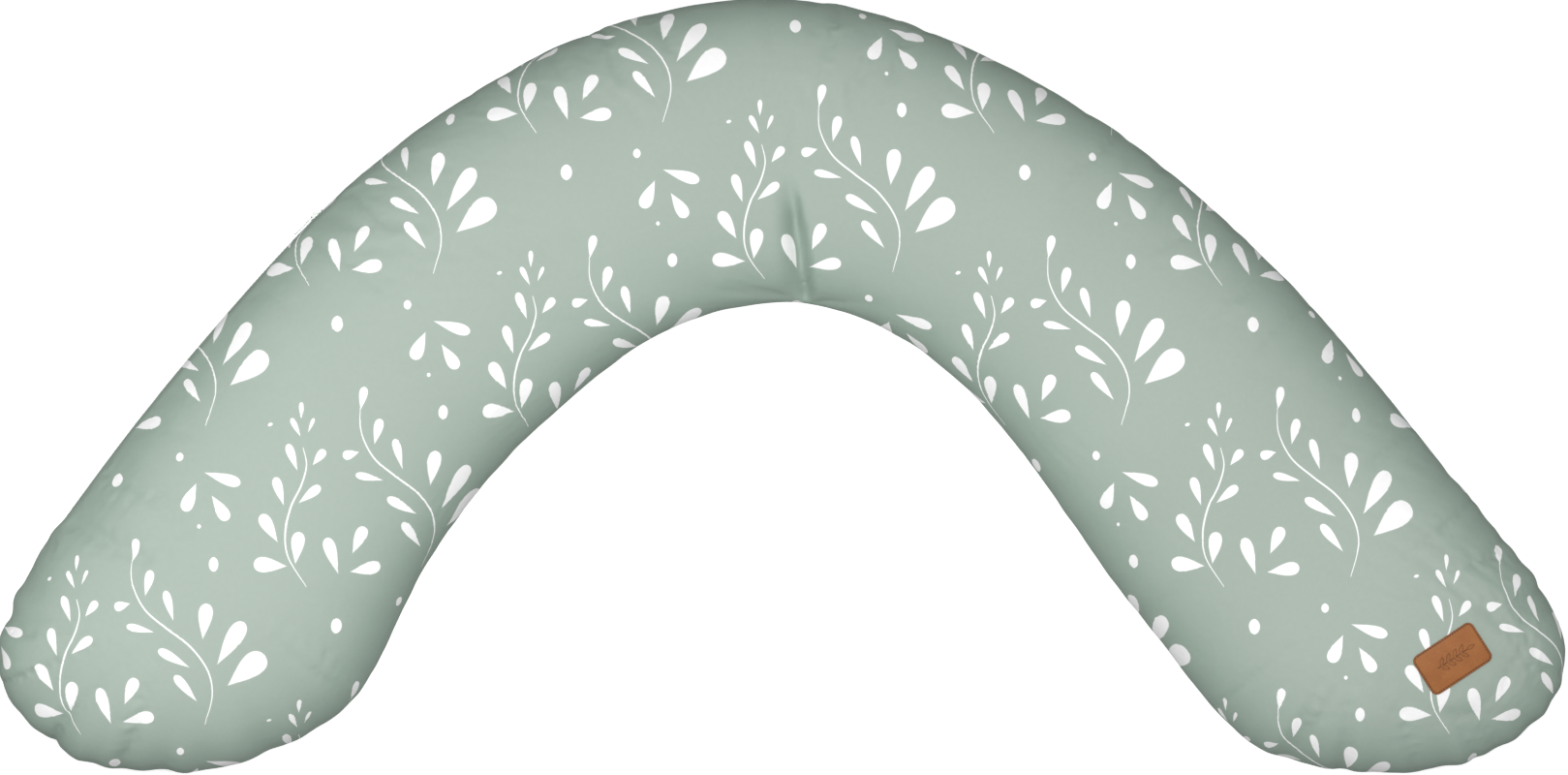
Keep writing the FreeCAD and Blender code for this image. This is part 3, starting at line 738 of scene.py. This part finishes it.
def cloth_material(name, colour, pitch, rough=0.9, contrast=0.08):
    """A plain woven cloth."""
    material, tree, shader = new_material(name)
    m = Maths(tree)
    place = m.position()
    waves = [m("SINE", m("MULTIPLY", part, 2 * math.pi / pitch)) for part in m.split(place)]
    threads = m("ADD", m("MULTIPLY", waves[0], waves[1]), m("MULTIPLY", waves[1], waves[2]))
    slub = m.noise(place, scale=0.25 / pitch, detail=3.0)
    tone = m("ADD", m("MULTIPLY", slub, contrast * 2), m("MULTIPLY", threads, contrast / 4))
    dark = tuple(c * 0.72 for c in colour[:3]) + (1,)
    share = m("ADD", tone, 0.9 - contrast, clamp=True)
    tree.links.new(m.mix(share, dark, colour), shader.inputs["Base Color"])
    shader.inputs["Roughness"].default_value = rough
    relief = m.bump(m("ADD", threads, slub), strength=0.4, distance=pitch / 3)
    tree.links.new(relief, shader.inputs["Normal"])
    return material


def patch_inset(m, place):
    """How far inside the patch's outline, a rounded rectangle, a place is."""
    low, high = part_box("leather_patch")
    centre = (low + high) / 2
    turned = m.tree.nodes.new("ShaderNodeMapping")
    turned.vector_type = "TEXTURE"
    turned.inputs["Location"].default_value = (centre.x, centre.y, 0)
    turned.inputs["Rotation"].default_value = (0, 0, PATCH_TURN)
    m.tree.links.new(place, turned.inputs["Vector"])
    sides = m.split(turned.outputs[0])
    past = [m("MAXIMUM", m("SUBTRACT", m("ABSOLUTE", sides[k]), PATCH_SIZE[k] / 2 - PATCH_CORNER), 0.0)
            for k in (0, 1)]
    reach = m("SQRT", m("ADD", m("POWER", past[0], 2.0), m("POWER", past[1], 2.0)))
    return m("SUBTRACT", PATCH_CORNER, reach)


def leather_material():
    """Tan leather with a fine grain, dark along its stitch line and at its cut edge, with painted shade in
    the hollows of its debossed twig.
    """
    material, tree, shader = new_material("tan_leather")
    m = Maths(tree)
    place = m.position()
    cells = tree.nodes.new("ShaderNodeTexVoronoi")
    cells.feature = "DISTANCE_TO_EDGE"
    cells.inputs["Scale"].default_value = GRAIN_CELLS
    tree.links.new(place, cells.inputs["Vector"])
    grain = m("MINIMUM", m("MULTIPLY", cells.outputs["Distance"], 3.0), 1.0)
    cloud = m.noise(place, scale=60.0, detail=4.0)
    fine = m.noise(place, scale=700.0, detail=2.0)
    share = m("ADD", m("MULTIPLY", cloud, 0.7), m("MULTIPLY", fine, 0.3), clamp=True)
    colour = m.mix(share, LEATHER_DEEP, LEATHER_LIGHT)
    colour = m.mix(m("MULTIPLY", m("SUBTRACT", 1.0, grain), 0.35), colour, LEATHER_DARK)
    # painted shade: ambient occlusion darkens the colour in the twig's narrow hollows
    twig_hollow_ao = tree.nodes.new("ShaderNodeAmbientOcclusion")
    twig_hollow_ao.only_local = True
    twig_hollow_ao.inputs["Distance"].default_value = TWIG_SHADE_REACH
    twig_hollow_shade = m("MULTIPLY", m("SUBTRACT", 1.0, twig_hollow_ao.outputs["AO"]), 2.2, clamp=True)
    inset = patch_inset(m, place)
    off_seam = m("ABSOLUTE", m("SUBTRACT", inset, PATCH_SEAM))
    seam = m("SUBTRACT", 1.0, m("DIVIDE", off_seam, PATCH_SEAM_HALF), clamp=True)
    rim = m("SUBTRACT", 1.0, m("DIVIDE", inset, PATCH_RIM), clamp=True)
    shade = m("MAXIMUM", m("MULTIPLY", seam, 0.3), m("MAXIMUM", m("MULTIPLY", rim, 0.8), twig_hollow_shade))
    tree.links.new(m.mix(shade, colour, LEATHER_DARK), shader.inputs["Base Color"])
    shader.inputs["Roughness"].default_value = 0.52
    shader.inputs["Specular IOR Level"].default_value = 0.3
    height = m("SUBTRACT", m("ADD", m("MULTIPLY", grain, 0.5), cloud), m("MULTIPLY", seam, 1.5))
    relief = m.bump(height, strength=0.35, distance=0.0004, under=m.bevel(radius=0.0006))
    tree.links.new(relief, shader.inputs["Normal"])
    return material


def metal_material():
    """Green enamel over metal, a little worn."""
    material, tree, shader = new_material("enamelled_metal")
    m = Maths(tree)
    place = m.position()
    worn = m.noise(place, scale=400.0, detail=4.0)
    colour = m.mix(m("MULTIPLY", worn, 0.8, clamp=True), (0.30, 0.37, 0.32, 1), (0.42, 0.50, 0.44, 1))
    tree.links.new(colour, shader.inputs["Base Color"])
    tree.links.new(m("ADD", m("MULTIPLY", worn, 0.25), 0.25), shader.inputs["Roughness"])
    relief = m.bump(worn, strength=0.1, distance=0.0002, under=m.bevel(radius=0.0003))
    tree.links.new(relief, shader.inputs["Normal"])
    shader.inputs["Coat Weight"].default_value = 0.3
    return material


def nylon_material():
    """Dyed nylon of the zip's coil."""
    material, tree, shader = new_material("zip_nylon")
    m = Maths(tree)
    place = m.position()
    tone = m.noise(place, scale=900.0, detail=2.0)
    colour = m.mix(tone, (0.33, 0.40, 0.35, 1), (0.45, 0.53, 0.47, 1))
    tree.links.new(colour, shader.inputs["Base Color"])
    tree.links.new(m("ADD", m("MULTIPLY", tone, 0.2), 0.3), shader.inputs["Roughness"])
    tree.links.new(m.bump(tone, strength=0.2, distance=0.0002), shader.inputs["Normal"])
    return material


def beads_material():
    """Packed white beads, with painted shade that greys each bead towards its edges and the gaps between
    beads.
    """
    material, tree, shader = new_material("polystyrene_beads")
    m = Maths(tree)
    cells = tree.nodes.new("ShaderNodeTexVoronoi")
    cells.inputs["Scale"].default_value = 450.0
    tree.links.new(m.position(), cells.inputs["Vector"])
    # painted shade: each bead's colour darkens from its middle out to the gaps between beads
    bead = m("SUBTRACT", 1.0, cells.outputs["Distance"], clamp=True)
    tree.links.new(m.mix(bead, (0.6, 0.6, 0.59, 1), (0.93, 0.93, 0.92, 1)), shader.inputs["Base Color"])
    shader.inputs["Roughness"].default_value = 0.6
    tree.links.new(m.bump(bead, strength=0.8, distance=0.001), shader.inputs["Normal"])
    return material


def give(obj, material):
    """Dress a piece in a material."""
    obj.data.materials.clear()
    obj.data.materials.append(material)


# ---- build the cloth layers ----

def write_cloth_places(mesh, ways):
    """Each point's place on the flat cloth, kept on the mesh for the print."""
    points = coords(mesh)
    spot = points[:, :2] + outward(ways) * (CLOTH_TAKE_UP * arc_excess(section_angle(ways)))[:, None]
    layer = mesh.attributes.new("cloth", "FLOAT_VECTOR", "POINT")
    flat = np.concatenate([spot, np.zeros((len(spot), 1))], axis=1).astype(np.float32)
    layer.data.foreach_set("vector", flat.ravel())


def subdivide(obj):
    modifier = obj.modifiers.new("subdivide", "SUBSURF")
    modifier.levels = 1
    modifier.render_levels = 1
    apply_modifiers(obj)


def copy_skin(skin, name, points):
    obj = add_object(name, skin.data.copy())
    set_coords(obj.data, points)
    return obj


def bend_with_arms(obj):
    """Bake the piece's placement into its mesh."""
    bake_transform(obj)


def build_layers():
    """The cover, the casing and the fill, all from one skin."""
    skin = make_skin()
    points = coords(skin.data)
    ways = normals(skin.data)
    free = still_zone(points)
    write_cloth_places(skin.data, ways)
    shape = points + ways * (soften(points) * free)[:, None]
    shape[:, 2] -= crease(points)
    pleats = puckers(points, ways) * free
    set_coords(skin.data, shape + ways * pleats[:, None])
    move = simulate(skin, free)
    set_coords(skin.data, coords(skin.data) + move)

    pushed = np.minimum(((coords(skin.data) - shape) * ways).sum(axis=1), 0)
    pushed = smooth_field(skin.data, lowest_nearby(skin.data, pushed), 2)
    casing = copy_skin(skin, "casing_skin", shape + ways * (pushed - CASING_INSET)[:, None])
    fill = copy_skin(skin, "bead_fill", shape + ways * (pushed - FILL_INSET)[:, None])
    give(fill, beads_material())
    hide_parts("bead_fill_left", "bead_fill_right")
    bend_with_arms(fill)
    cotton = cloth_material("plain_cotton", (0.86, 0.85, 0.82, 1), 0.0008)
    for name, node in (("inner_casing_upper", "inner_casing_top"),
                       ("inner_casing_lower", "inner_casing_bottom")):
        piece = cut_panel(casing, name, name.endswith("upper"))
        give(piece, cotton)
        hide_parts(node)
        bend_with_arms(piece)
    bpy.data.objects.remove(casing)

    subdivide(skin)
    leaf_table, stem_table = print_layout()
    printed = cover_material()
    for name, node in (("cover_upper", "cover_top_panel"), ("cover_lower", "cover_bottom_panel")):
        upper = name.endswith("upper")
        panel = cut_panel(skin, name, upper)
        sink_seam(panel)
        open_zip(panel, upper)
        lay_print(panel.data, leaf_table, stem_table, upper)
        give(panel, printed)
        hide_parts(node)
        bend_with_arms(panel)
        shade_smooth(panel.data)
    bpy.data.objects.remove(skin)


def dress_cad_nodes():
    """Materials for the pieces that keep their CAD shape."""
    tape = cloth_material("zip_tape", (0.40, 0.48, 0.42, 1), 0.0006)
    thread = cloth_material("cover_thread", (0.50, 0.58, 0.52, 1), 0.0004)
    nylon = nylon_material()
    metal = metal_material()
    dark_thread = cloth_material("dark_thread", (0.035, 0.018, 0.012, 1), 0.0004)
    satin = cloth_material("label_satin", (0.85, 0.85, 0.84, 1), 0.0005, rough=0.4, contrast=0.04)
    looks = {
        "zip_tape_upper": (tape, "zip_tape"), "zip_tape_lower": (tape, "zip_tape"),
        "zip_teeth_upper": (nylon, "zip_nylon"), "zip_teeth_lower": (nylon, "zip_nylon"),
        "zip_top_stops": (nylon, "zip_nylon"), "zip_bottom_stop": (nylon, "zip_nylon"),
        "zip_topstitch_upper": (thread, "cover_thread"), "zip_topstitch_lower": (thread, "cover_thread"),
        "zip_slider": (metal, "zip_metal"), "zip_pull_tab": (metal, "zip_metal"),
        "leather_patch": (leather_material(), "patch_leather"),
        "patch_stitching": (dark_thread, "patch_thread"), "care_label": (satin, "label_satin"),
    }
    for name, (material, slot) in looks.items():
        give(NODES[name], material)


# ---- floor, light and camera ----

# the camera sees a paler floor than the one that lights the pillow from below
FLOOR_COLOUR, FLOOR_BOUNCE, FLOOR_GLOW = (0.93, 0.93, 0.93, 1), (0.56, 0.56, 0.56, 1), 0.58
FLOOR_SIZE, FLOOR_DROP = 40, 0.0005


def make_stage():
    bpy.ops.mesh.primitive_plane_add(size=FLOOR_SIZE, location=(0, 0, -FLOOR_DROP))
    floor = bpy.context.object
    floor.name = "floor"
    material, tree, shader = new_material("pale_floor")
    shader.inputs["Roughness"].default_value = 0.9
    shader.inputs["Emission Color"].default_value = (1, 1, 1, 1)
    m = Maths(tree)
    seen = tree.nodes.new("ShaderNodeLightPath").outputs["Is Camera Ray"]
    tree.links.new(m.mix(seen, FLOOR_BOUNCE, FLOOR_COLOUR), shader.inputs["Base Color"])
    tree.links.new(m("MULTIPLY", seen, FLOOR_GLOW), shader.inputs["Emission Strength"])
    floor.data.materials.append(material)


def area_light(name, place, target, size, power):
    light = bpy.data.lights.new(name, "AREA")
    light.shape = "DISK"
    light.size = size
    light.energy = power
    obj = bpy.data.objects.new(name, light)
    obj.location = place
    obj.rotation_mode = "QUATERNION"
    obj.rotation_quaternion = (Vector(target) - Vector(place)).to_track_quat("-Z", "Y")
    bpy.context.scene.collection.objects.link(obj)


SKY_LIGHT, SKY_SEEN = 0.22, 0.9   # how bright the sky lights the pillow, and how bright the camera sees it


def make_light():
    area_light("top_light", (0.0, 0.1, 5.0), target=(0, 0, 0), size=1.5, power=157)
    area_light("left_light", (-1.0, -0.05, 1.3), target=(-0.55, -0.15, 0), size=0.6, power=6.5)
    area_light("right_light", (1.0, -0.15, 1.5), target=(0.6, -0.2, 0), size=0.7, power=4.0)
    world = bpy.data.worlds.new("world")
    world.use_nodes = True
    background = world.node_tree.nodes["Background"]
    background.inputs["Color"].default_value = (1, 1, 1, 1)
    m = Maths(world.node_tree)
    seen = world.node_tree.nodes.new("ShaderNodeLightPath").outputs["Is Camera Ray"]
    strength = m("ADD", m("MULTIPLY", seen, SKY_SEEN - SKY_LIGHT), SKY_LIGHT)
    world.node_tree.links.new(strength, background.inputs["Strength"])
    bpy.context.scene.world = world
    bpy.context.scene.view_settings.view_transform = "Standard"


PICTURE_WIDTH = 1.504         # metres across the picture at the seam's height
PICTURE_MIDDLE = (0.0009, -0.001)
LENS, SENSOR = 250.0, 36.0


def make_camera():
    camera = bpy.data.cameras.new("camera")
    camera.lens = LENS
    camera.sensor_width = SENSOR
    obj = bpy.data.objects.new("camera", camera)
    distance = PICTURE_WIDTH / 2 / (SENSOR / 2 / LENS)
    obj.location = (*PICTURE_MIDDLE, SEAM_Z + distance)
    bpy.context.scene.collection.objects.link(obj)
    bpy.context.scene.camera = obj


build_layers()
dress_cad_nodes()
make_stage()
make_light()
make_camera()
